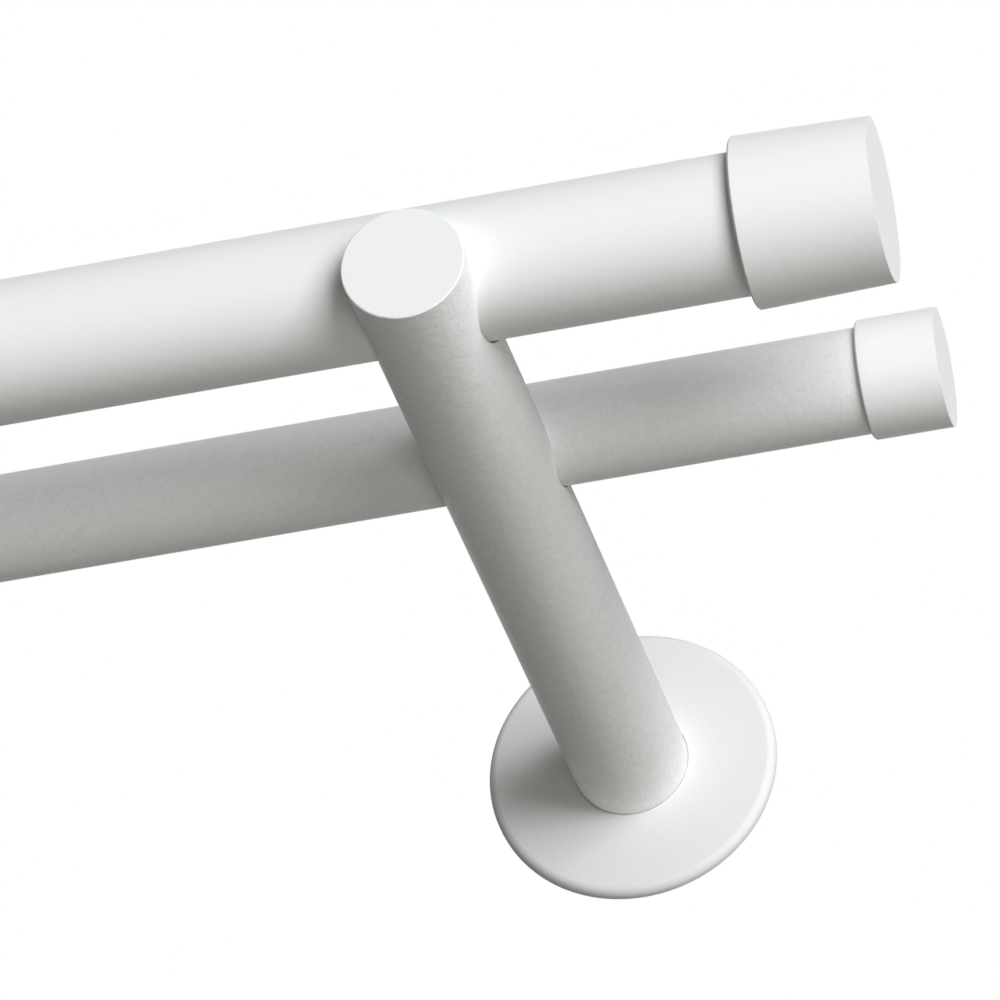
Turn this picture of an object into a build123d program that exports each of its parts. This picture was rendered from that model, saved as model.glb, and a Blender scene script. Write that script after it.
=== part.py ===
# Double curtain rod: two round tubes lie in cradles cut across a round post, with one post near each end.
# X runs along the rods, Y points into the wall and Z is up. The wall's face is y = 0, and the posts' axes are z = 0.
import os
from math import cos, radians, sin

from build123d import *

os.makedirs("parts", exist_ok=True)

# Rods
rod_length = 1200.0
front_rod_diameter = 25.0
front_rod_wall = 1.0
back_rod_diameter = 19.0
back_rod_wall = 0.9

# Where the rods lie, from the wall, from each other, above the posts' axes and past the posts
front_rod_reach = 169.8
rod_spacing = 57.6
front_rod_height = 7.3
back_rod_height = 7.0
rod_overhang = 77.5

# Post
post_diameter = 21.6
post_nose = 18.0
post_edge = 0.2

# Cradles: each is a little wider than its rod, and the rod bears on its lower front
front_cradle_slack = 0.5
back_cradle_slack = 0.3
bearing_angle = 225.0

# Plate behind the post, screwed to the wall
plate_thickness = 1.6
screw_hole_diameter = 4.2
screw_head_diameter = 7.0
screw_head_angle = 90.0
screw_hole_spacing = 34.0

# Stud that the post is screwed on, pressed into the plate from behind
stud_diameter = 8.0
stud_length = 18.0
stud_head_diameter = 12.0
stud_head_thickness = 1.0
stud_end_chamfer = 0.6
stud_bore_spare = 2.0
stud_bore_chamfer = 0.5

# Grub screws: each stands a little below the post's top, and its point's edge or face bears on what it holds
grub_diameter = 4.0
grub_point_chamfer = 0.5
grub_socket_width = 2.0
grub_socket_depth = 2.2
grub_recess = 0.8
grub_drill_past = 2.0
rod_screw_slope = 45.0
rod_screw_bearing_angle = -5.0
lock_screw_from_plate = 7.0

# Cover rose that slides along the post and hides the plate
rose_diameter = 54.4
rose_depth = 2.4
rose_wall = 0.6
rose_edge_chamfer = 1.0
rose_inner_chamfer = 0.6
rose_bore_clearance = 0.1
rose_to_plate = 0.9

# End caps: the front one is a slight taper, the back one is straight
cap_end_wall = 3.0
front_cap_length = 24.1
front_cap_mouth_diameter = 30.2
front_cap_end_diameter = 28.9
back_cap_length = 14.2
back_cap_diameter = 21.4
cap_bore_clearance = 0.08
cap_mouth_chamfer = 0.35

# Split ring in a groove of each cap, which grips the rod
grip_ring_thickness = 0.6
grip_ring_width = 4.0
grip_ring_from_mouth = 2.5
grip_ring_split = 2.0
grip_clearance = 0.02

# Places that follow from the sizes
bracket_x = rod_length / 2 - rod_overhang
front_rod_y = -front_rod_reach
back_rod_y = front_rod_y + rod_spacing
post_length = front_rod_reach + post_nose - plate_thickness
plate_diameter = rose_diameter - 2 * rose_wall - 2 * rose_to_plate
plate_face = Plane.XZ.offset(plate_thickness)
grub_radius = grub_diameter / 2
grub_point_radius = grub_radius - grub_point_chamfer
stud_bore_depth = stud_length + stud_bore_spare


def tube(rod_y, rod_z, diameter, wall):
    """A round tube along X, centred on x = 0."""
    with BuildPart() as built:
        with BuildSketch(Plane.YZ):
            with Locations((rod_y, rod_z)):
                Circle(diameter / 2)
                Circle(diameter / 2 - wall, mode=Mode.SUBTRACT)
        extrude(amount=rod_length / 2, both=True)
    return built


def rod_screw_plane(rod_y, rod_z, diameter):
    """Face of the screw's point, whose front edge bears on the rod, with Z out along the screw: up and back."""
    bearing = radians(rod_screw_bearing_angle)
    slope = radians(rod_screw_slope)
    edge_y = rod_y + diameter / 2 * cos(bearing)
    edge_z = rod_z + diameter / 2 * sin(bearing)
    centre = (bracket_x, edge_y + grub_point_radius * sin(slope), edge_z - grub_point_radius * cos(slope))
    return Plane(origin=centre, x_dir=(1, 0, 0), z_dir=(0, cos(slope), sin(slope)))


def grub_screw(point_plane):
    """Grub screw from its point's face to just below the post's top."""
    depth = (post_diameter / 2 - point_plane.origin.Z) / point_plane.z_dir.Z
    length = depth - grub_recess
    with BuildPart() as built:
        with BuildSketch(point_plane):
            Circle(grub_radius)
        extrude(amount=length)
        screw_axis = Axis(point_plane.origin, point_plane.z_dir)
        point_edge = built.edges().filter_by(GeomType.CIRCLE).sort_by(screw_axis)[0]
        chamfer(point_edge, grub_point_chamfer)
        with BuildSketch(point_plane.offset(length)):
            RegularPolygon(grub_socket_width / 2, 6, major_radius=False)
        extrude(amount=-grub_socket_depth, mode=Mode.SUBTRACT)
    return built


def cap_profile_plane(rod_y, rod_z):
    """Plane through the rod's axis, with X inwards from the rod's end and Y out from the axis."""
    return Plane(origin=(rod_length / 2, rod_y, rod_z), x_dir=(-1, 0, 0), z_dir=(0, 1, 0))


def end_cap(rod_y, rod_z, rod_diameter, mouth_diameter, end_diameter, length):
    """Turned cap with a blind bore whose bottom seats on the rod's end, and a groove for its grip ring."""
    bore_radius = rod_diameter / 2 + cap_bore_clearance
    mouth = length - cap_end_wall
    groove_centre = mouth - grip_ring_from_mouth - grip_ring_width / 2
    with BuildPart() as built:
        with BuildSketch(cap_profile_plane(rod_y, rod_z)):
            with BuildLine():
                Polyline(
                    (-cap_end_wall, 0),
                    (-cap_end_wall, end_diameter / 2),
                    (mouth, mouth_diameter / 2),
                    (mouth, bore_radius),
                    (0, bore_radius),
                    (0, 0),
                    close=True,
                )
            make_face()
            with Locations((groove_centre, bore_radius + grip_ring_thickness / 2)):
                Rectangle(grip_ring_width, grip_ring_thickness, mode=Mode.SUBTRACT)
        revolve(axis=Axis((0, rod_y, rod_z), (1, 0, 0)))
        mouth_face = built.faces().filter_by(Axis.X).sort_by(Axis.X)[0]
        mouth_edge = mouth_face.edges().filter_by(GeomType.CIRCLE).sort_by(SortBy.RADIUS)[-1]
        chamfer(mouth_edge, cap_mouth_chamfer)
    return built


def grip_ring(rod_y, rod_z, rod_diameter, length):
    """Split ring that fills the cap's groove and bears on the rod, with its split at the top."""
    bore_radius = rod_diameter / 2 + cap_bore_clearance
    outer_radius = bore_radius + grip_ring_thickness
    inner_radius = rod_diameter / 2 + grip_clearance
    inner_end = length - cap_end_wall - grip_ring_from_mouth
    with BuildPart() as built:
        with BuildSketch(Plane.YZ.offset(rod_length / 2 - inner_end)):
            with Locations((rod_y, rod_z)):
                Circle(outer_radius)
                Circle(inner_radius, mode=Mode.SUBTRACT)
            with Locations((rod_y, rod_z + outer_radius)):
                Rectangle(grip_ring_split, outer_radius, mode=Mode.SUBTRACT)
        extrude(amount=grip_ring_width)
    return built


# Rods
front_rod = tube(front_rod_y, front_rod_height, front_rod_diameter, front_rod_wall)
back_rod = tube(back_rod_y, back_rod_height, back_rod_diameter, back_rod_wall)

# Faces of the grub screws' points
front_screw_plane = rod_screw_plane(front_rod_y, front_rod_height, front_rod_diameter)
back_screw_plane = rod_screw_plane(back_rod_y, back_rod_height, back_rod_diameter)
lock_screw_point = (bracket_x, -plate_thickness - lock_screw_from_plate, stud_diameter / 2)
lock_screw_plane = Plane(origin=lock_screw_point, x_dir=(1, 0, 0), z_dir=(0, 0, 1))

# Post: a round bar with a cradle for each rod, open at the top
with BuildPart() as post:
    with BuildSketch(plate_face):
        with Locations((bracket_x, 0)):
            Circle(post_diameter / 2)
    extrude(amount=post_length)
    chamfer(post.faces().sort_by(Axis.Y)[0].edges(), post_edge)
    for rod_y, rod_z, rod_diameter, slack in (
        (front_rod_y, front_rod_height, front_rod_diameter, front_cradle_slack),
        (back_rod_y, back_rod_height, back_rod_diameter, back_cradle_slack),
    ):
        cradle_radius = rod_diameter / 2 + slack
        cradle_y = rod_y - slack * cos(radians(bearing_angle))
        cradle_z = rod_z - slack * sin(radians(bearing_angle))
        with BuildSketch(Plane.YZ.offset(bracket_x)):
            with Locations((cradle_y, cradle_z)):
                Circle(cradle_radius)
                Rectangle(2 * cradle_radius, post_diameter, align=(Align.CENTER, Align.MIN))
        extrude(amount=post_diameter, both=True, mode=Mode.SUBTRACT)
    with BuildSketch(plate_face):
        with Locations((bracket_x, 0)):
            Circle(stud_diameter / 2)
    extrude(amount=stud_bore_depth, mode=Mode.SUBTRACT)
    wall_end = post.faces().sort_by(Axis.Y)[-1]
    chamfer(wall_end.edges().sort_by(SortBy.RADIUS)[0], stud_bore_chamfer)
    for point_plane in (front_screw_plane, back_screw_plane, lock_screw_plane):
        with BuildSketch(point_plane.offset(-grub_drill_past)):
            Circle(grub_radius)
        extrude(amount=2 * post_diameter, mode=Mode.SUBTRACT)

# Wall plate: a flat disc with two countersunk holes beside the post
with BuildPart() as wall_plate:
    with BuildSketch(Plane.XZ):
        with Locations((bracket_x, 0)):
            Circle(plate_diameter / 2)
    extrude(amount=plate_thickness)
    with Locations(plate_face):
        with Locations((bracket_x, screw_hole_spacing / 2), (bracket_x, -screw_hole_spacing / 2)):
            CounterSinkHole(
                screw_hole_diameter / 2,
                screw_head_diameter / 2,
                counter_sink_angle=screw_head_angle,
            )
        with Locations((bracket_x, 0)):
            Hole(stud_diameter / 2)
    with BuildSketch(Plane.XZ):
        with Locations((bracket_x, 0)):
            Circle(stud_head_diameter / 2)
    extrude(amount=stud_head_thickness, mode=Mode.SUBTRACT)

# Stud: its flat head is sunk in the plate's back
with BuildPart() as plate_stud:
    with BuildSketch(Plane.XZ):
        with Locations((bracket_x, 0)):
            Circle(stud_head_diameter / 2)
    extrude(amount=stud_head_thickness)
    with BuildSketch(Plane.XZ):
        with Locations((bracket_x, 0)):
            Circle(stud_diameter / 2)
    extrude(amount=plate_thickness + stud_length)
    chamfer(plate_stud.faces().sort_by(Axis.Y)[0].edges(), stud_end_chamfer)

# Cover rose: a thin round dish, open towards the wall
with BuildPart() as cover_rose:
    with BuildSketch(Plane.XZ):
        with Locations((bracket_x, 0)):
            Circle(rose_diameter / 2)
    extrude(amount=rose_depth)
    chamfer(cover_rose.faces().sort_by(Axis.Y)[0].edges(), rose_edge_chamfer)
    with BuildSketch(Plane.XZ):
        with Locations((bracket_x, 0)):
            Circle(rose_diameter / 2 - rose_wall)
    extrude(amount=rose_depth - rose_wall, mode=Mode.SUBTRACT)
    dish_floor = cover_rose.faces().filter_by(Axis.Y).sort_by(Axis.Y)[1]
    chamfer(dish_floor.edges(), rose_inner_chamfer)
    with BuildSketch(Plane.XZ):
        with Locations((bracket_x, 0)):
            Circle(post_diameter / 2 + rose_bore_clearance)
    extrude(amount=rose_depth, mode=Mode.SUBTRACT)

# Grub screws
front_rod_screw = grub_screw(front_screw_plane)
back_rod_screw = grub_screw(back_screw_plane)
post_lock_screw = grub_screw(lock_screw_plane)

# End caps and their grip rings
front_end_cap = end_cap(
    front_rod_y,
    front_rod_height,
    front_rod_diameter,
    front_cap_mouth_diameter,
    front_cap_end_diameter,
    front_cap_length,
)
back_end_cap = end_cap(
    back_rod_y,
    back_rod_height,
    back_rod_diameter,
    back_cap_diameter,
    back_cap_diameter,
    back_cap_length,
)
front_grip_ring = grip_ring(front_rod_y, front_rod_height, front_rod_diameter, front_cap_length)
back_grip_ring = grip_ring(back_rod_y, back_rod_height, back_rod_diameter, back_cap_length)

# The rods are written once
front_rod.part.label = "front_rod"
export_step(front_rod.part, "parts/front_rod.step")
back_rod.part.label = "back_rod"
export_step(back_rod.part, "parts/back_rod.step")

# Everything else is modelled at the right end, and the left end is its mirror image
end_pieces = {
    "post": post,
    "wall_plate": wall_plate,
    "plate_stud": plate_stud,
    "cover_rose": cover_rose,
    "front_rod_screw": front_rod_screw,
    "back_rod_screw": back_rod_screw,
    "post_lock_screw": post_lock_screw,
    "front_end_cap": front_end_cap,
    "back_end_cap": back_end_cap,
    "front_grip_ring": front_grip_ring,
    "back_grip_ring": back_grip_ring,
}
for name, piece in end_pieces.items():
    piece.part.label = f"right_{name}"
    export_step(piece.part, f"parts/right_{name}.step")
    left_piece = mirror(piece.part, about=Plane.YZ)
    left_piece.label = f"left_{name}"
    export_step(left_piece, f"parts/left_{name}.step")
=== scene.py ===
"""Double curtain rod: finishes, smooth rods, threaded studs and screws, and a plain studio."""

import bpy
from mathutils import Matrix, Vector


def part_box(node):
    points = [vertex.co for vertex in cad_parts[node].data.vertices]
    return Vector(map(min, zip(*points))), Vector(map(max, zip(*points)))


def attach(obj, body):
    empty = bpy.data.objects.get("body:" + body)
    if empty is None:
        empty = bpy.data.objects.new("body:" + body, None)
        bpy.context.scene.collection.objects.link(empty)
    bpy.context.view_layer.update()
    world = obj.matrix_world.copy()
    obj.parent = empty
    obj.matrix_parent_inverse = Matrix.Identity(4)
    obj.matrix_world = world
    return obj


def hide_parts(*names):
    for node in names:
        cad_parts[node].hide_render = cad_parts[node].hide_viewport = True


bl_info = {
    "name": "Double Curtain Rod",
    "version": (1, 0, 0),
    "blender": (4, 5, 0),
    "location": "3D View > Sidebar > Curtain Rod",
    "description": "Finishes, rods, threaded screws and a studio for a double curtain rod",
    "category": "Object",
}

from math import cos, pi, radians, sin

import bpy
from mathutils import Matrix, Quaternion, Vector

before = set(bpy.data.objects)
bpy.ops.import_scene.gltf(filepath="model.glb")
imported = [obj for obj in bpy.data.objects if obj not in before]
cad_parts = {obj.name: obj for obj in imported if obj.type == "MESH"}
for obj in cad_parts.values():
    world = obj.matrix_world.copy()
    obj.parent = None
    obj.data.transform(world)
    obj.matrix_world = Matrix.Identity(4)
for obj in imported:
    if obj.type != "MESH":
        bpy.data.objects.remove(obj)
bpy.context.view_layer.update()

# Where the brackets stand from the rods' middle, and their sizes, in metres
SIDES = {"right": 1, "left": -1}
BRACKET_X = 0.5225
POST_RADIUS = 0.0108
POST_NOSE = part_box("right_post")[0][1]
PLATE_THICKNESS = 0.0016

# Each rod's axis, as its Y and Z
FRONT_ROD_AXIS = (-0.1698, 0.0073)
BACK_ROD_AXIS = (-0.1122, 0.0070)

# Rounding of the edges that aren't painted
PLATE_EDGE = 0.0001
RING_EDGE = 0.00008

# How far behind the post's nose the grain of its coat sets in
NOSE_SMOOTH = 0.0003

# Form of a thread, as shares of its pitch: the flats on its crest and in its groove, and its depth
CREST_FLAT = 0.125
GROOVE_FLAT = 0.25
THREAD_DEPTH = 0.6134

# Coats of paint: how far each is darkened as painted shade, how uneven in tone, how coarse in grain and how
# rough in sheen each one is
COATS = {
    "Front Rod Powder Coat": {"painted_shade": 1.0, "mottle": 0.2, "coarseness": 0.4, "roughness": 0.55},
    # Painted shade: the back rod's paint is a little darker, standing in for the front rod's shadow that
    # falls on its middle
    "Back Rod Powder Coat": {"painted_shade": 0.99, "mottle": 2.0, "coarseness": 1.2, "roughness": 0.55},
    "Bracket Powder Coat": {
        "painted_shade": 1.0,
        "mottle": 3.0,
        "coarseness": 2.0,
        "roughness": 0.58,
        "nose": POST_NOSE + NOSE_SMOOTH,
    },
    # Painted shade: the rose's paint is darker, standing in for the light that its lean turns away from it
    "Rose Powder Coat": {"painted_shade": 0.96, "mottle": 0.2, "coarseness": 0.5, "roughness": 0.55},
    "Cap Powder Coat": {"painted_shade": 1.0, "mottle": 0.2, "coarseness": 0.4, "roughness": 0.5},
}


# Settings that a user would change


class RodSettings(bpy.types.PropertyGroup):
    """Sizes of the two rods."""

    length: bpy.props.FloatProperty(
        name="Length", description="Length of both rods", default=1.2, unit="LENGTH"
    )
    front_diameter: bpy.props.FloatProperty(
        name="Front Diameter",
        description="Outside diameter of the front rod",
        default=0.025,
        unit="LENGTH",
    )
    front_wall: bpy.props.FloatProperty(
        name="Front Wall", description="Wall of the front rod", default=0.001, unit="LENGTH"
    )
    back_diameter: bpy.props.FloatProperty(
        name="Back Diameter",
        description="Outside diameter of the back rod",
        default=0.019,
        unit="LENGTH",
    )
    back_wall: bpy.props.FloatProperty(
        name="Back Wall", description="Wall of the back rod", default=0.0009, unit="LENGTH"
    )
    end_round: bpy.props.FloatProperty(
        name="End Round",
        description="Radius of the paint over the rods' cut ends",
        default=0.00025,
        unit="LENGTH",
    )
    sides: bpy.props.IntProperty(name="Sides", description="Facets around a rod", default=160, min=24)


class ThreadSettings(bpy.types.PropertyGroup):
    """Sizes of the threads on the studs and the grub screws."""

    stud_diameter: bpy.props.FloatProperty(
        name="Stud Diameter",
        description="Outside diameter of the stud's thread",
        default=0.008,
        unit="LENGTH",
    )
    stud_pitch: bpy.props.FloatProperty(
        name="Stud Pitch",
        description="Rise of the stud's thread in one turn",
        default=0.00125,
        unit="LENGTH",
    )
    grub_diameter: bpy.props.FloatProperty(
        name="Grub Screw Diameter",
        description="Outside diameter of a grub screw",
        default=0.004,
        unit="LENGTH",
    )
    grub_pitch: bpy.props.FloatProperty(
        name="Grub Screw Pitch",
        description="Rise of a grub screw's thread in one turn",
        default=0.0007,
        unit="LENGTH",
    )
    socket_width: bpy.props.FloatProperty(
        name="Socket Width",
        description="Across flats of a grub screw's socket",
        default=0.002,
        unit="LENGTH",
    )
    socket_depth: bpy.props.FloatProperty(
        name="Socket Depth", description="Depth of a grub screw's socket", default=0.0022, unit="LENGTH"
    )
    rows_per_turn: bpy.props.IntProperty(
        name="Rows per Turn", description="Rings of points in one turn of thread", default=14, min=6
    )


class FinishSettings(bpy.types.PropertyGroup):
    """Colours and grain of the finishes."""

    paint: bpy.props.FloatVectorProperty(
        name="Paint",
        description="Colour of the powder coat",
        default=(0.88, 0.885, 0.88),
        size=3,
        subtype="COLOR",
    )
    grain_size: bpy.props.FloatProperty(
        name="Grain Size",
        description="Width of one grain of the powder coat",
        default=0.00045,
        unit="LENGTH",
    )
    grain_height: bpy.props.FloatProperty(
        name="Grain Height",
        description="Height of the powder coat's grain",
        default=0.000035,
        unit="LENGTH",
    )
    zinc: bpy.props.FloatVectorProperty(
        name="Zinc",
        description="Colour of the zinc plating",
        default=(0.62, 0.64, 0.66),
        size=3,
        subtype="COLOR",
    )
    dark_steel: bpy.props.FloatVectorProperty(
        name="Dark Steel",
        description="Colour of the blackened screws",
        default=(0.05, 0.05, 0.055),
        size=3,
        subtype="COLOR",
    )
    nylon: bpy.props.FloatVectorProperty(
        name="Nylon",
        description="Colour of the grip rings",
        default=(0.80, 0.78, 0.72),
        size=3,
        subtype="COLOR",
    )
    edge_round: bpy.props.FloatProperty(
        name="Edge Round",
        description="Radius that the paint gives to an edge",
        default=0.00018,
        unit="LENGTH",
    )
    rim_round: bpy.props.FloatProperty(
        name="Rim Round",
        description="How far the rounding of a rose's rim reaches",
        default=0.0006,
        unit="LENGTH",
    )
    bore_round: bpy.props.FloatProperty(
        name="Bore Round",
        description="Radius at the edge of a rose's bore",
        default=0.00005,
        unit="LENGTH",
    )


class StudioSettings(bpy.types.PropertyGroup):
    """Camera, lamps and floor."""

    camera_place: bpy.props.FloatVectorProperty(
        name="Camera",
        description="Where the camera stands",
        default=(0.79977, -1.59296, -0.88178),
        size=3,
        subtype="TRANSLATION",
    )
    camera_aim: bpy.props.FloatVectorProperty(
        name="Aim",
        description="Point in the middle of the picture",
        default=(0.52148, -0.10867, -0.00247),
        size=3,
        subtype="TRANSLATION",
    )
    camera_roll: bpy.props.FloatProperty(
        name="Roll",
        description="Turn of the camera about its view",
        default=radians(-4.27),
        unit="ROTATION",
    )
    lens: bpy.props.FloatProperty(name="Lens", description="Focal length in millimetres", default=356.8)
    key_power: bpy.props.FloatProperty(
        name="Key Power", description="Watts of the main lamp", default=278.0
    )
    key_size: bpy.props.FloatProperty(
        name="Key Size", description="Side of the main lamp", default=3.04, unit="LENGTH"
    )
    key_distance: bpy.props.FloatProperty(
        name="Key Distance", description="From the bracket to the main lamp", default=4.9, unit="LENGTH"
    )
    low_power: bpy.props.FloatProperty(
        name="Low Power", description="Watts of the lamp below on the right", default=3.25
    )
    fill_power: bpy.props.FloatProperty(
        name="Fill Power", description="Watts of the lamp above and behind", default=52.0
    )
    ambient: bpy.props.FloatProperty(
        name="Ambient", description="Strength of the light from all round", default=0.132
    )
    floor_bounce: bpy.props.FloatProperty(
        name="Floor Bounce",
        description="Strength of the light that the floor sends back to the pieces",
        default=0.11,
    )
    floor_glow: bpy.props.FloatProperty(
        name="Floor Glow",
        description="Strength of the floor's own light, as the camera sees it",
        default=0.945,
    )
    floor_height: bpy.props.FloatProperty(
        name="Floor Height",
        description="Height of the floor from the posts' axes",
        default=-1.25,
        unit="LENGTH",
    )


# Node trees


class Number:
    """A number that varies over a piece. Its operators add Math nodes to its tree."""

    def __init__(self, tree, socket):
        self.tree = tree
        self.socket = socket

    def math(self, operation, *values, clamp=False):
        sockets = dict(enumerate(values))
        return self.tree.add("ShaderNodeMath", sockets, operation=operation, use_clamp=clamp).number()

    def __add__(self, other):
        return self.math("ADD", self, other)

    def __radd__(self, other):
        return self.math("ADD", other, self)

    def __sub__(self, other):
        return self.math("SUBTRACT", self, other)

    def __rsub__(self, other):
        return self.math("SUBTRACT", other, self)

    def __mul__(self, other):
        return self.math("MULTIPLY", self, other)

    def __rmul__(self, other):
        return self.math("MULTIPLY", other, self)

    def __truediv__(self, other):
        return self.math("DIVIDE", self, other)

    def __abs__(self):
        return self.math("ABSOLUTE", self)

    def fraction(self):
        return self.math("FRACT", self)

    def lesser(self, other):
        return self.math("MINIMUM", self, other)

    def greater(self, other):
        return self.math("MAXIMUM", self, other)

    def above(self, other):
        return self.math("GREATER_THAN", self, other)

    def root(self):
        return self.math("SQRT", self)

    def clamped(self):
        return self.math("ADD", self, 0.0, clamp=True)


class Added:
    """A node that was added to a tree, with its outputs by name."""

    def __init__(self, tree, node):
        self.tree = tree
        self.node = node

    def __getitem__(self, key):
        return self.node.outputs[key]

    def number(self, key=0):
        return Number(self.tree, self.node.outputs[key])


class Tree:
    """A node tree whose nodes are all added by one method."""

    def __init__(self, tree):
        self.tree = tree
        tree.nodes.clear()

    def add(self, kind, sockets=None, **settings):
        """Adds a node: first its settings, then the values or links of its sockets."""
        node = self.tree.nodes.new(kind)
        for name, value in settings.items():
            setattr(node, name, value)
        for key, value in (sockets or {}).items():
            if isinstance(value, Number):
                self.tree.links.new(value.socket, node.inputs[key])
            elif isinstance(value, bpy.types.NodeSocket):
                self.tree.links.new(value, node.inputs[key])
            else:
                node.inputs[key].default_value = value
        return Added(self, node)


def material_tree(name):
    """A new material and its empty tree."""
    material = bpy.data.materials.new(name)
    material.use_nodes = True
    return material, Tree(material.node_tree)


def geometry_tree(name, inputs):
    """A new Geometry Nodes tree with its named inputs, and the node that gives them."""
    group = bpy.data.node_groups.new(name, "GeometryNodeTree")
    group.interface.new_socket("Geometry", in_out="OUTPUT", socket_type="NodeSocketGeometry")
    for label, kind in inputs:
        group.interface.new_socket(label, in_out="INPUT", socket_type=f"NodeSocket{kind}")
    tree = Tree(group)
    return group, tree, tree.add("NodeGroupInput")


def end_geometry(tree, inputs, geometry):
    """Ends a Geometry Nodes tree: shades its geometry smooth, makes it real and gives it its material."""
    smooth = tree.add("GeometryNodeSetShadeSmooth", {"Geometry": geometry, "Shade Smooth": True})
    real = tree.add("GeometryNodeRealizeInstances", {"Geometry": smooth["Geometry"]})
    coated = tree.add(
        "GeometryNodeSetMaterial", {"Geometry": real["Geometry"], "Material": inputs["Material"]}
    )
    tree.add("NodeGroupOutput", {"Geometry": coated["Geometry"]})


def add_nodes_modifier(piece, group, values):
    """Puts a Geometry Nodes tree on a piece and sets its inputs by their names."""
    modifier = piece.modifiers.new(group.name, "NODES")
    modifier.node_group = group
    for item in group.interface.items_tree:
        if item.in_out == "INPUT" and item.name in values:
            modifier[item.identifier] = values[item.name]


def baked(piece):
    """Turns a piece with its modifiers into a plain mesh."""
    depsgraph = bpy.context.evaluated_depsgraph_get()
    mesh = bpy.data.meshes.new_from_object(piece.evaluated_get(depsgraph), depsgraph=depsgraph)
    mesh.name = piece.name
    piece.modifiers.clear()
    piece.data = mesh


# Finishes


def rgb(colour, factor=1.0):
    """A colour with its alpha, made lighter or darker by a factor."""
    return (*(channel * factor for channel in colour), 1.0)


def colour_mix(tree, factor, first, second):
    """Goes from the first colour to the second as the factor goes from 0 to 1."""
    mix = tree.add("ShaderNodeMix", {0: factor, 6: first, 7: second}, data_type="RGBA")
    return mix[2]


def noise(tree, place, scale, detail=2.0, roughness=0.5):
    """Soft noise from 0 to 1, with the given number of waves in a metre."""
    sockets = {"Vector": place, "Scale": scale, "Detail": detail, "Roughness": roughness}
    return tree.add("ShaderNodeTexNoise", sockets).number("Fac")


def place_of(tree):
    """A point's place on its piece, in metres."""
    return tree.add("ShaderNodeTexCoord")["Object"]


def end_finish(tree, colour, roughness, height, depth, values):
    """Ends a finish's tree: its colour, its roughness, bumps of the given depth and what else is given."""
    bump = tree.add("ShaderNodeBump", {"Strength": 1.0, "Distance": depth, "Height": height})
    sockets = {"Base Color": colour, "Roughness": roughness, "Normal": bump["Normal"], **values}
    shader = tree.add("ShaderNodeBsdfPrincipled", sockets)
    tree.add("ShaderNodeOutputMaterial", {"Surface": shader["BSDF"]})


def powder_coat(name, finish, painted_shade, mottle, coarseness, roughness, nose=None):
    """White powder coat: fine grain over a faint, wider ripple, a little uneven in tone and sheen, and
    darkened by a factor as painted shade.

    Where a nose is given, which is a place on Y, the coat lies smoother in front of it.
    """
    material, tree = material_tree(name)
    place = place_of(tree)
    grain = noise(tree, place, 1 / finish.grain_size, detail=3.0, roughness=0.6)
    ripple = noise(tree, place, 0.22 / finish.grain_size, detail=1.0)
    cloud = noise(tree, place, 28.0, detail=2.0)
    grain_share = 0.7
    ripple_share = 0.15
    cloud_share = 0.08
    contrast = 2.3
    pattern = grain_share * grain + ripple_share * ripple + cloud_share * cloud
    pattern_middle = (grain_share + ripple_share + cloud_share) / 2
    tone = (0.5 + contrast * (pattern - pattern_middle)).clamped()
    height = grain + 1.6 * ripple
    if nose is not None:
        smoothing = 0.85
        ahead = nose - tree.add("ShaderNodeSeparateXYZ", {"Vector": place}).number("Y")
        liveliness = 1.0 - smoothing * (ahead / NOSE_SMOOTH).clamped()
        tone = 0.5 + (tone - 0.5) * liveliness
        height = height * liveliness
    spread = 0.04 * mottle
    # Painted shade: this factor darkens the whole coat's colour
    dull = rgb(finish.paint, painted_shade * (1 - spread))
    clear = rgb(finish.paint, painted_shade * (1 + spread))
    colour = colour_mix(tree, tone, dull, clear)
    sheen = roughness + 0.12 * grain + 0.06 * cloud
    depth = coarseness * finish.grain_height
    end_finish(tree, colour, sheen, height, depth, {"Specular IOR Level": 0.15})
    return material


def zinc_plating(name, finish):
    """Bright zinc: rolled marks along X, cloudy spangle and a slightly bluish tone."""
    material, tree = material_tree(name)
    place = place_of(tree)
    stretched = tree.add("ShaderNodeMapping", {"Vector": place, "Scale": (0.06, 1.0, 1.0)})["Vector"]
    marks = noise(tree, stretched, 4200.0, detail=3.0, roughness=0.65)
    spangle = tree.add("ShaderNodeTexVoronoi", {"Vector": place, "Scale": 420.0}).number("Distance")
    cloud = noise(tree, place, 160.0, detail=2.0)
    tone = (0.5 * cloud + 0.6 * spangle).clamped()
    colour = colour_mix(tree, tone, rgb(finish.zinc, 0.88), rgb(finish.zinc, 1.1))
    sheen = 0.3 + 0.14 * marks + 0.08 * cloud
    height = marks + 0.4 * spangle
    end_finish(tree, colour, sheen, height, depth=0.000003, values={"Metallic": 1.0})
    return material


def black_oxide(name, finish):
    """Blackened steel: oily sheen with a few brown and bare specks."""
    material, tree = material_tree(name)
    place = place_of(tree)
    grain = noise(tree, place, 3800.0, detail=4.0, roughness=0.7)
    speck_level = 0.62
    specks = ((noise(tree, place, 900.0, detail=3.0) - speck_level) * 6.0).clamped()
    base = colour_mix(tree, grain, rgb(finish.dark_steel, 0.7), rgb(finish.dark_steel, 1.5))
    colour = colour_mix(tree, specks, base, rgb((0.16, 0.13, 0.11)))
    sheen = 0.32 + 0.16 * grain
    end_finish(tree, colour, sheen, grain, depth=0.000002, values={"Metallic": 0.85})
    return material


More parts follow.
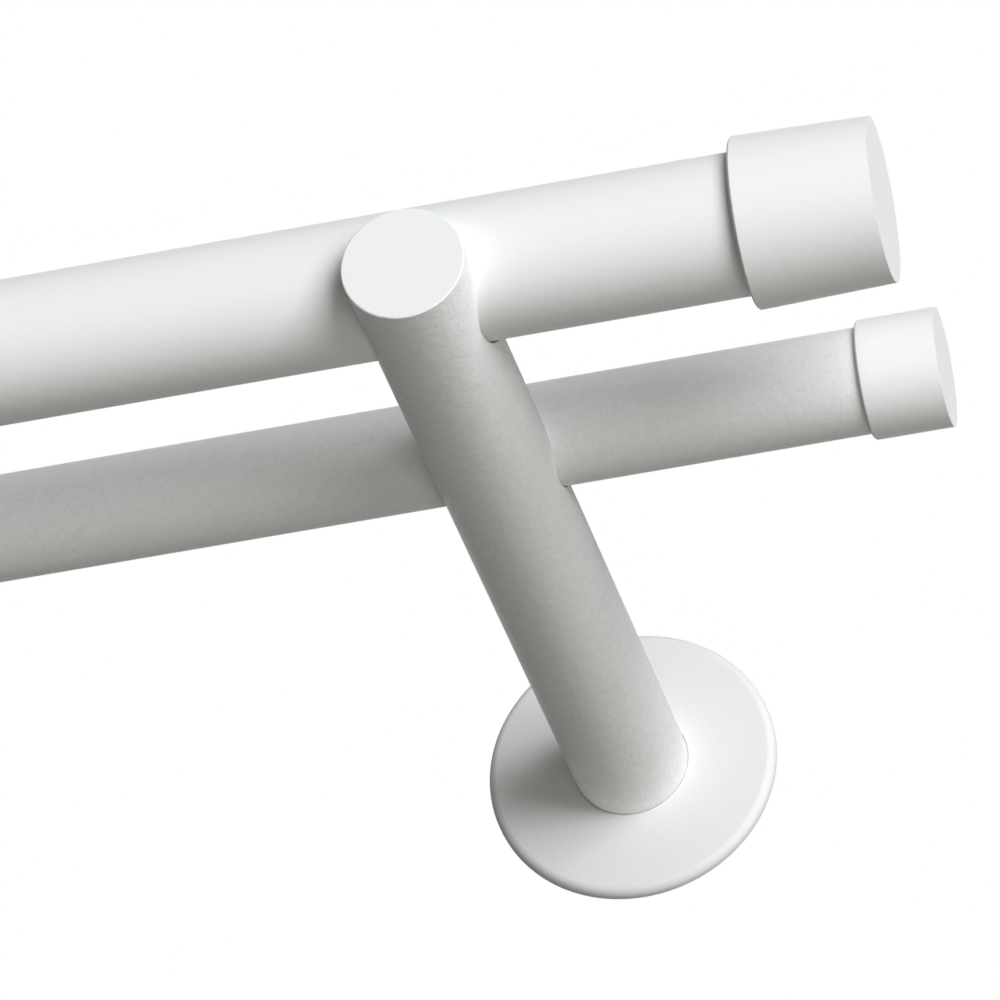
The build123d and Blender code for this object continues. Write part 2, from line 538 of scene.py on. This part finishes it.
def moulded_nylon(name, finish):
    """Natural nylon: milky, with faint flow marks and a satin skin."""
    material, tree = material_tree(name)
    place = place_of(tree)
    stretched = tree.add("ShaderNodeMapping", {"Vector": place, "Scale": (1.0, 0.3, 0.3)})["Vector"]
    flow = noise(tree, stretched, 700.0, detail=3.0)
    skin = noise(tree, place, 2600.0, detail=2.0)
    colour = colour_mix(tree, flow, rgb(finish.nylon, 0.95), rgb(finish.nylon, 1.05))
    sheen = 0.4 + 0.15 * skin
    milky = {"Subsurface Weight": 0.2, "Subsurface Scale": 0.002}
    end_finish(tree, colour, sheen, skin + flow, depth=0.000004, values=milky)
    return material


def finish_named(name):
    """The material of a finish, made the first time it is asked for."""
    made = bpy.data.materials.get(name)
    if made:
        return made
    settings = bpy.context.scene.curtain_rod_finish
    if name in COATS:
        return powder_coat(name, settings, **COATS[name])
    makers = {"Zinc Plating": zinc_plating, "Black Oxide": black_oxide, "Natural Nylon": moulded_nylon}
    return makers[name](name, settings)


def smooth_tree():
    """Joins a piece's loose triangles, shades them smooth and marks how much its edges are rounded."""
    made = bpy.data.node_groups.get("Smooth Surface")
    if made:
        return made
    group, tree, inputs = geometry_tree(
        "Smooth Surface",
        (
            ("Geometry", "Geometry"),
            ("Gap", "Float"),
            ("Square Edges", "Float"),
            ("Material", "Material"),
        ),
    )
    joined = tree.add(
        "GeometryNodeMergeByDistance", {"Geometry": inputs["Geometry"], "Distance": inputs["Gap"]}
    )
    turn = tree.add("GeometryNodeInputMeshEdgeAngle").number("Unsigned Angle")
    edge = turn.above(radians(30))
    square = turn.above(radians(60))
    weight = edge * (1.0 - square * (1.0 - inputs.number("Square Edges")))
    marked = tree.add(
        "GeometryNodeStoreNamedAttribute",
        {"Geometry": joined["Geometry"], "Name": "bevel_weight_edge", "Value": weight},
        data_type="FLOAT",
        domain="EDGE",
    )
    end_geometry(tree, inputs, marked["Geometry"])
    return group


def finish_node(name, finish, width, square_edges=1.0, segments=2):
    """Gives a piece of the frame its finish, rounds its edges by a width and shades it smooth.

    Edges of more than 60 degrees are rounded by the share of the width that square_edges gives.
    """
    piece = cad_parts[name]
    material = finish_named(finish)
    piece.data.materials.clear()
    piece.data.materials.append(material)
    inputs = {"Gap": 1e-6, "Square Edges": square_edges, "Material": material}
    add_nodes_modifier(piece, smooth_tree(), inputs)
    bevel = piece.modifiers.new("Paint Edge", "BEVEL")
    bevel.limit_method = "WEIGHT"
    bevel.width = width
    bevel.segments = segments
    normals = piece.modifiers.new("Face Normals", "WEIGHTED_NORMAL")
    normals.keep_sharp = False


# Rods


def tube_tree():
    """A tube along Z with rounded ends: the wall's outline is carried round a circle."""
    made = bpy.data.node_groups.get("Round Tube")
    if made:
        return made
    group, tree, inputs = geometry_tree(
        "Round Tube",
        (
            ("Geometry", "Geometry"),
            ("Length", "Float"),
            ("Radius", "Float"),
            ("Wall", "Float"),
            ("End Round", "Float"),
            ("Sides", "Int"),
            ("Material", "Material"),
        ),
    )
    middle = inputs.number("Radius") - inputs.number("Wall") / 2
    circle = tree.add(
        "GeometryNodeCurvePrimitiveCircle", {"Resolution": inputs["Sides"], "Radius": middle}
    )
    wall = tree.add(
        "GeometryNodeCurvePrimitiveQuadrilateral", {"Width": inputs["Wall"], "Height": inputs["Length"]}
    )
    rounded = tree.add(
        "GeometryNodeFilletCurve",
        {"Curve": wall["Curve"], "Radius": inputs["End Round"], "Count": 4, "Limit Radius": True},
        mode="POLY",
    )
    swept = tree.add(
        "GeometryNodeCurveToMesh", {"Curve": circle["Curve"], "Profile Curve": rounded["Curve"]}
    )
    end_geometry(tree, inputs, swept["Mesh"])
    return group


def new_piece(name, mesh=None):
    """An object at the origin with an empty mesh or the one given."""
    piece = bpy.data.objects.new(name, mesh or bpy.data.meshes.new(name))
    bpy.context.scene.collection.objects.link(piece)
    return piece


def outward(piece):
    """Turns a closed piece's faces outwards if they point in."""
    mesh = piece.data
    mesh.calc_loop_triangles()
    volume = 0.0
    for triangle in mesh.loop_triangles:
        a, b, c = (mesh.vertices[i].co for i in triangle.vertices)
        volume += a.dot(b.cross(c))
    if volume < 0:
        mesh.flip_normals()


def rod(name, node, axis, diameter, wall, finish, settings):
    """A smooth tube in place of a rod of the frame, whose own facets are coarse."""
    piece = new_piece(name)
    add_nodes_modifier(
        piece,
        tube_tree(),
        {
            "Length": settings.length,
            "Radius": diameter / 2,
            "Wall": wall,
            "End Round": settings.end_round,
            "Sides": settings.sides,
            "Material": finish_named(finish),
        },
    )
    normals = piece.modifiers.new("Face Normals", "WEIGHTED_NORMAL")
    normals.keep_sharp = False
    baked(piece)
    piece.data.transform(Matrix.Translation((0, *axis)) @ Matrix.Rotation(pi / 2, 4, "Y"))
    outward(piece)
    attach(piece, "rod_and_brackets")
    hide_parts(node)


class CURTAINROD_OT_rods(bpy.types.Operator):
    """Make the two rods as smooth tubes"""

    bl_idname = "curtain_rod.rods"
    bl_label = "Make Rods"

    def execute(self, context):
        settings = context.scene.curtain_rod_rods
        rod(
            "front_rod_tube",
            "front_rod",
            axis=FRONT_ROD_AXIS,
            diameter=settings.front_diameter,
            wall=settings.front_wall,
            finish="Front Rod Powder Coat",
            settings=settings,
        )
        rod(
            "back_rod_tube",
            "back_rod",
            axis=BACK_ROD_AXIS,
            diameter=settings.back_diameter,
            wall=settings.back_wall,
            finish="Back Rod Powder Coat",
            settings=settings,
        )
        return {"FINISHED"}


# Brackets


class CURTAINROD_OT_brackets(bpy.types.Operator):
    """Finish the posts and their cover roses"""

    bl_idname = "curtain_rod.brackets"
    bl_label = "Finish Brackets"

    def execute(self, context):
        settings = context.scene.curtain_rod_finish
        for side in SIDES:
            finish_node(f"{side}_post", "Bracket Powder Coat", settings.edge_round)
            finish_node(
                f"{side}_cover_rose",
                "Rose Powder Coat",
                settings.rim_round,
                square_edges=settings.bore_round / settings.rim_round,
                segments=4,
            )
        return {"FINISHED"}


class CURTAINROD_OT_plates(bpy.types.Operator):
    """Finish the wall plates behind the roses"""

    bl_idname = "curtain_rod.plates"
    bl_label = "Finish Wall Plates"

    def execute(self, context):
        for side in SIDES:
            finish_node(f"{side}_wall_plate", "Zinc Plating", PLATE_EDGE)
        return {"FINISHED"}


# End caps


class CURTAINROD_OT_caps(bpy.types.Operator):
    """Finish the end caps and the rings inside them"""

    bl_idname = "curtain_rod.caps"
    bl_label = "Finish End Caps"

    def execute(self, context):
        settings = context.scene.curtain_rod_finish
        for side in SIDES:
            for which in ("front", "back"):
                finish_node(f"{side}_{which}_end_cap", "Cap Powder Coat", settings.edge_round)
                finish_node(f"{side}_{which}_grip_ring", "Natural Nylon", RING_EDGE)
        return {"FINISHED"}


# Threaded pieces


def thread_tree():
    """Cuts a thread into a piece turned about Z: points outside its surface are drawn in to it."""
    made = bpy.data.node_groups.get("Cut Thread")
    if made:
        return made
    group, tree, inputs = geometry_tree(
        "Cut Thread",
        (
            ("Geometry", "Geometry"),
            ("Radius", "Float"),
            ("Pitch", "Float"),
            ("Start", "Float"),
            ("End", "Float"),
            ("Material", "Material"),
        ),
    )
    point = tree.add("GeometryNodeInputPosition")
    split = tree.add("ShaderNodeSeparateXYZ", {"Vector": point["Position"]})
    x, y, z = (split.number(axis) for axis in "XYZ")
    radius = inputs.number("Radius")
    pitch = inputs.number("Pitch")
    distance = (x * x + y * y).root()
    turn = x.math("ARCTAN2", y, x) / (2 * pi)
    turns_ahead = 64.0
    phase = (z / pitch - turn + turns_ahead).fraction()
    towards_groove = 1.0 - abs(2.0 * phase - 1.0)
    groove = ((towards_groove - CREST_FLAT) / (1.0 - CREST_FLAT - GROOVE_FLAT)).clamped()
    pitches_past_end = 0.5
    run_in = ((z - inputs.number("Start")) / pitch).clamped()
    run_out = ((inputs.number("End") - z) / pitch + pitches_past_end).clamped()
    cut = radius - THREAD_DEPTH * pitch * groove * run_in * run_out
    threaded_part = (run_in * run_out).above(0.0)
    drawn_in = (distance - distance.lesser(cut)) * threaded_part
    nearly_nothing = 1e-7
    factor = (distance - drawn_in) / distance.greater(nearly_nothing)
    moved = tree.add("ShaderNodeCombineXYZ", {"X": x * factor, "Y": y * factor, "Z": z})
    placed = tree.add(
        "GeometryNodeSetPosition", {"Geometry": inputs["Geometry"], "Position": moved["Vector"]}
    )
    end_geometry(tree, inputs, placed["Geometry"])
    return group


def turned_mesh(name, rows, sides):
    """A closed mesh turned about Z. Each row is a height and a radius, or a radius for each side."""
    points = [(0, 0, rows[0][0])]
    faces = []
    for height, radius in rows:
        for i in range(sides):
            angle = 2 * pi * i / sides
            r = radius[i] if isinstance(radius, list) else radius
            points.append((r * cos(angle), r * sin(angle), height))
    points.append((0, 0, rows[-1][0]))
    last = len(points) - 1
    for i in range(sides):
        j = (i + 1) % sides
        faces.append((0, 1 + j, 1 + i))
        for row in range(len(rows) - 1):
            low = 1 + row * sides
            high = low + sides
            faces.append((low + i, low + j, high + j, high + i))
        top = 1 + (len(rows) - 1) * sides
        faces.append((last, top + i, top + j))
    mesh = bpy.data.meshes.new(name)
    mesh.from_pydata(points, [], faces)
    mesh.update()
    return mesh


def shank_rows(start, end, radius, chamfer, pitch, rows_per_turn):
    """Rows of a shank whose two edges are chamfered by the pair given, close enough for its thread."""
    rows = []
    steps = round((end - start) / pitch * rows_per_turn)
    for step in range(steps + 1):
        height = start + (end - start) * step / steps
        low = max(0.0, chamfer[0] - (height - start))
        high = max(0.0, chamfer[1] - (end - height))
        rows.append((height, radius - max(low, high)))
    return rows


def hexagon(width, sides):
    """Radii of a hexagon of the given width across its flats."""
    return [width / 2 / cos((2 * pi * i / sides) % (pi / 3) - pi / 6) for i in range(sides)]


def threaded(name, node, mesh, radius, pitch, start, end, finish, place):
    """A threaded piece in place of one of the frame. Its place is a matrix that takes Z along the screw."""
    piece = new_piece(name, mesh)
    add_nodes_modifier(
        piece,
        thread_tree(),
        {"Radius": radius, "Pitch": pitch, "Start": start, "End": end, "Material": finish_named(finish)},
    )
    baked(piece)
    piece.data.transform(place)
    piece.data.set_sharp_from_angle(angle=radians(40))
    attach(piece, "rod_and_brackets")
    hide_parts(node)


class CURTAINROD_OT_studs(bpy.types.Operator):
    """Make the threaded studs that hold the posts"""

    bl_idname = "curtain_rod.studs"
    bl_label = "Make Studs"

    def execute(self, context):
        settings = context.scene.curtain_rod_threads
        radius = settings.stud_diameter / 2
        pitch = settings.stud_pitch
        head_radius = 0.006
        head_thickness = 0.001
        head_edge = 0.00015
        stud_length = 0.018
        tip_chamfer = 0.0006
        tip = PLATE_THICKNESS + stud_length
        rows = [
            (0.0, head_radius - head_edge),
            (head_edge, head_radius),
            (head_thickness, head_radius),
            (head_thickness, radius),
        ]
        chamfers = (0.0, tip_chamfer)
        rows += shank_rows(PLATE_THICKNESS, tip, radius, chamfers, pitch, settings.rows_per_turn)
        turn_out = Matrix.Rotation(pi / 2, 4, "X")
        for side, sign in SIDES.items():
            threaded(
                f"{side}_threaded_stud",
                f"{side}_plate_stud",
                turned_mesh(f"{side}_threaded_stud", rows, sides=64),
                radius,
                pitch,
                start=PLATE_THICKNESS,
                end=tip,
                finish="Zinc Plating",
                place=Matrix.Translation((sign * BRACKET_X, 0, 0)) @ turn_out,
            )
        return {"FINISHED"}


class CURTAINROD_OT_grub_screws(bpy.types.Operator):
    """Make the grub screws with their sockets, cup points and threads"""

    bl_idname = "curtain_rod.grub_screws"
    bl_label = "Make Grub Screws"

    def execute(self, context):
        settings = context.scene.curtain_rod_threads
        radius = settings.grub_diameter / 2
        pitch = settings.grub_pitch
        sides = 48
        point_chamfer = 0.0005
        top_chamfer = 0.00025
        cup_radius = 0.0011
        cup_depth = 0.0004
        cup_floor = 0.0002
        socket_lead = 0.0001
        drill_depth = 0.0004
        drill_tip = 0.0001
        socket = hexagon(settings.socket_width, sides)
        chamfers = (point_chamfer, top_chamfer)
        for which, length, place in self.screws(context.scene, radius - point_chamfer):
            rows = [(cup_depth, cup_floor), (0.0, cup_radius)]
            rows += shank_rows(0.0, length, radius, chamfers, pitch, settings.rows_per_turn)
            floor = length - settings.socket_depth
            rows += [
                (length, [flat + socket_lead for flat in socket]),
                (length - socket_lead, socket),
                (floor, socket),
                (floor - drill_depth, drill_tip),
            ]
            for side, sign in SIDES.items():
                threaded(
                    f"{side}_{which}_threaded",
                    f"{side}_{which}",
                    turned_mesh(f"{side}_{which}_threaded", rows, sides),
                    radius,
                    pitch,
                    start=0.0,
                    end=length,
                    finish="Black Oxide",
                    place=Matrix.Translation((sign * BRACKET_X, 0, 0)) @ place,
                )
        return {"FINISHED"}

    @staticmethod
    def screws(scene, point_radius):
        """Each screw's name, its length and its place at the middle of the rods."""
        rods = scene.curtain_rod_rods
        top = POST_RADIUS
        recess = 0.0008
        slope = radians(45)
        bearing = radians(-5)
        found = []
        for which, axis, rod_radius in (
            ("front_rod_screw", FRONT_ROD_AXIS, rods.front_diameter / 2),
            ("back_rod_screw", BACK_ROD_AXIS, rods.back_diameter / 2),
        ):
            y = axis[0] + rod_radius * cos(bearing) + point_radius * sin(slope)
            z = axis[1] + rod_radius * sin(bearing) - point_radius * cos(slope)
            length = (top - z) / sin(slope) - recess
            place = Matrix.Translation((0, y, z)) @ Matrix.Rotation(slope - pi / 2, 4, "X")
            found.append((which, length, place))
        lock_from_plate = 0.007
        stud_top = scene.curtain_rod_threads.stud_diameter / 2
        lock_place = Matrix.Translation((0, -PLATE_THICKNESS - lock_from_plate, stud_top))
        found.append(("post_lock_screw", top - stud_top - recess, lock_place))
        return found


# Stage


def area_lamp(name, place, aim, size, power, colour):
    """A square soft lamp that the camera doesn't see."""
    light = bpy.data.lights.new(name, "AREA")
    light.shape = "SQUARE"
    light.size = size
    light.energy = power
    light.color = colour
    lamp = bpy.data.objects.new(name, light)
    bpy.context.scene.collection.objects.link(lamp)
    lamp.location = place
    lamp.rotation_mode = "QUATERNION"
    lamp.rotation_quaternion = (Vector(aim) - Vector(place)).to_track_quat("-Z", "Y")
    lamp.visible_camera = False


def seen_rays(tree):
    """1 for rays that show the background, straight or in gloss or glass, and 0 for all others."""
    path = tree.add("ShaderNodeLightPath")
    seen = path.number("Is Camera Ray").greater(path.number("Is Glossy Ray"))
    return seen.greater(path.number("Is Transmission Ray"))


def studio_world(ambient):
    """A white background that gives the pieces only a plain, weak light."""
    world = bpy.data.worlds.new("Studio")
    world.use_nodes = True
    tree = Tree(world.node_tree)
    soft = tree.add("ShaderNodeBackground", {"Color": rgb((0.99, 1.0, 0.94)), "Strength": ambient})
    white = tree.add("ShaderNodeBackground", {"Color": rgb((1.0, 1.0, 1.0)), "Strength": 1.0})
    mixed = tree.add(
        "ShaderNodeMixShader", {0: seen_rays(tree), 1: soft["Background"], 2: white["Background"]}
    )
    tree.add("ShaderNodeOutputWorld", {"Surface": mixed["Shader"]})
    return world


def floor_material(bounce, own_light):
    """Pale matt floor that keeps a shadow and lights the pieces a little. From below it isn't seen."""
    material, tree = material_tree("Studio Floor")
    cloud = noise(tree, place_of(tree), 3.0)
    pale = colour_mix(tree, cloud, rgb((0.29, 0.29, 0.29)), rgb((0.31, 0.31, 0.31)))
    seen = tree.add("ShaderNodeBsdfDiffuse", {"Color": pale})
    dim = tree.add("ShaderNodeEmission", {"Color": rgb((1.0, 0.93, 0.88)), "Strength": bounce})
    glow = tree.add("ShaderNodeEmission", {"Color": rgb((1.0, 1.0, 1.0)), "Strength": own_light})
    bright = tree.add("ShaderNodeAddShader", {0: seen["BSDF"], 1: glow["Emission"]})
    mixed = tree.add(
        "ShaderNodeMixShader", {0: seen_rays(tree), 1: dim["Emission"], 2: bright["Shader"]}
    )
    clear = tree.add("ShaderNodeBsdfTransparent")
    underside = tree.add("ShaderNodeNewGeometry")["Backfacing"]
    one_sided = tree.add("ShaderNodeMixShader", {0: underside, 1: mixed["Shader"], 2: clear["BSDF"]})
    tree.add("ShaderNodeOutputMaterial", {"Surface": one_sided["Shader"]})
    return material


class CURTAINROD_OT_stage(bpy.types.Operator):
    """Set the camera, the lamps, the background and the floor"""

    bl_idname = "curtain_rod.stage"
    bl_label = "Set Stage"

    def execute(self, context):
        scene = context.scene
        settings = scene.curtain_rod_studio
        scene.view_settings.view_transform = "Standard"
        scene.world = studio_world(settings.ambient)
        self.camera(scene, settings)
        self.lamps(settings)
        floor = new_piece("floor")
        half = 60.0
        ways = ((-1, -1), (1, -1), (1, 1), (-1, 1))
        corners = [(x * half, y * half, settings.floor_height) for x, y in ways]
        floor.data.from_pydata(corners, [], [(0, 1, 2, 3)])
        floor.data.materials.append(floor_material(settings.floor_bounce, settings.floor_glow))
        return {"FINISHED"}

    @staticmethod
    def lamps(settings):
        """The main lamp on the right, a weak one below it and one above and behind the rods."""
        middle = Vector((BRACKET_X, -0.1, 0.0))
        key_way = Vector((0.6, -0.8, 0.06)).normalized()
        area_lamp(
            "Key",
            place=middle + settings.key_distance * key_way,
            aim=middle,
            size=settings.key_size,
            power=settings.key_power,
            colour=(0.968, 0.983, 1.0),
        )
        low_way = Vector((0.5, -0.2, -0.8)).normalized()
        low_distance = 1.2
        area_lamp(
            "Low",
            place=middle + low_distance * low_way,
            aim=middle,
            size=0.85,
            power=settings.low_power,
            colour=(1.0, 0.99, 0.93),
        )
        area_lamp(
            "Fill",
            place=(-0.5, 2.5, 1.85),
            aim=(0, -0.1, 0),
            size=2.0,
            power=settings.fill_power,
            colour=(1.0, 1.0, 0.98),
        )

    @staticmethod
    def camera(scene, settings):
        """Points the camera, with its roll, at the middle of the picture."""
        camera = bpy.data.objects.new("Camera", bpy.data.cameras.new("Camera"))
        scene.collection.objects.link(camera)
        view = Vector(settings.camera_aim) - Vector(settings.camera_place)
        camera.location = settings.camera_place
        camera.rotation_mode = "QUATERNION"
        roll = Quaternion((0, 0, 1), settings.camera_roll)
        camera.rotation_quaternion = view.to_track_quat("-Z", "Y") @ roll
        camera.data.sensor_width = 36.0
        camera.data.lens = settings.lens
        camera.data.clip_start = 0.01
        camera.data.clip_end = 50.0
        scene.camera = camera


OPERATORS = (
    CURTAINROD_OT_stage,
    CURTAINROD_OT_rods,
    CURTAINROD_OT_brackets,
    CURTAINROD_OT_plates,
    CURTAINROD_OT_caps,
    CURTAINROD_OT_studs,
    CURTAINROD_OT_grub_screws,
)

SETTINGS = {
    "curtain_rod_rods": RodSettings,
    "curtain_rod_threads": ThreadSettings,
    "curtain_rod_finish": FinishSettings,
    "curtain_rod_studio": StudioSettings,
}


class CURTAINROD_PT_sidebar(bpy.types.Panel):
    """Lists the steps that make the curtain rod"""

    bl_label = "Double Curtain Rod"
    bl_idname = "CURTAINROD_PT_sidebar"
    bl_space_type = "VIEW_3D"
    bl_region_type = "UI"
    bl_category = "Curtain Rod"

    def draw(self, context):
        for name, group in SETTINGS.items():
            box = self.layout.box()
            box.label(text=group.__doc__)
            for label in group.__annotations__:
                box.prop(getattr(context.scene, name), label)
        for operator in OPERATORS:
            self.layout.operator(operator.bl_idname)


def register():
    """Registers the settings, the operators and the panel."""
    for name, group in SETTINGS.items():
        bpy.utils.register_class(group)
        setattr(bpy.types.Scene, name, bpy.props.PointerProperty(type=group))
    for operator in OPERATORS:
        bpy.utils.register_class(operator)
    bpy.utils.register_class(CURTAINROD_PT_sidebar)


def unregister():
    """Takes the panel, the operators and the settings away again."""
    bpy.utils.unregister_class(CURTAINROD_PT_sidebar)
    for operator in reversed(OPERATORS):
        bpy.utils.unregister_class(operator)
    for name, group in SETTINGS.items():
        delattr(bpy.types.Scene, name)
        bpy.utils.unregister_class(group)


def main():
    """Makes the whole scene."""
    register()
    bpy.ops.curtain_rod.stage()
    bpy.ops.curtain_rod.rods()
    bpy.ops.curtain_rod.brackets()
    bpy.ops.curtain_rod.plates()
    bpy.ops.curtain_rod.caps()
    bpy.ops.curtain_rod.studs()
    bpy.ops.curtain_rod.grub_screws()


if __name__ == "__main__":
    main()
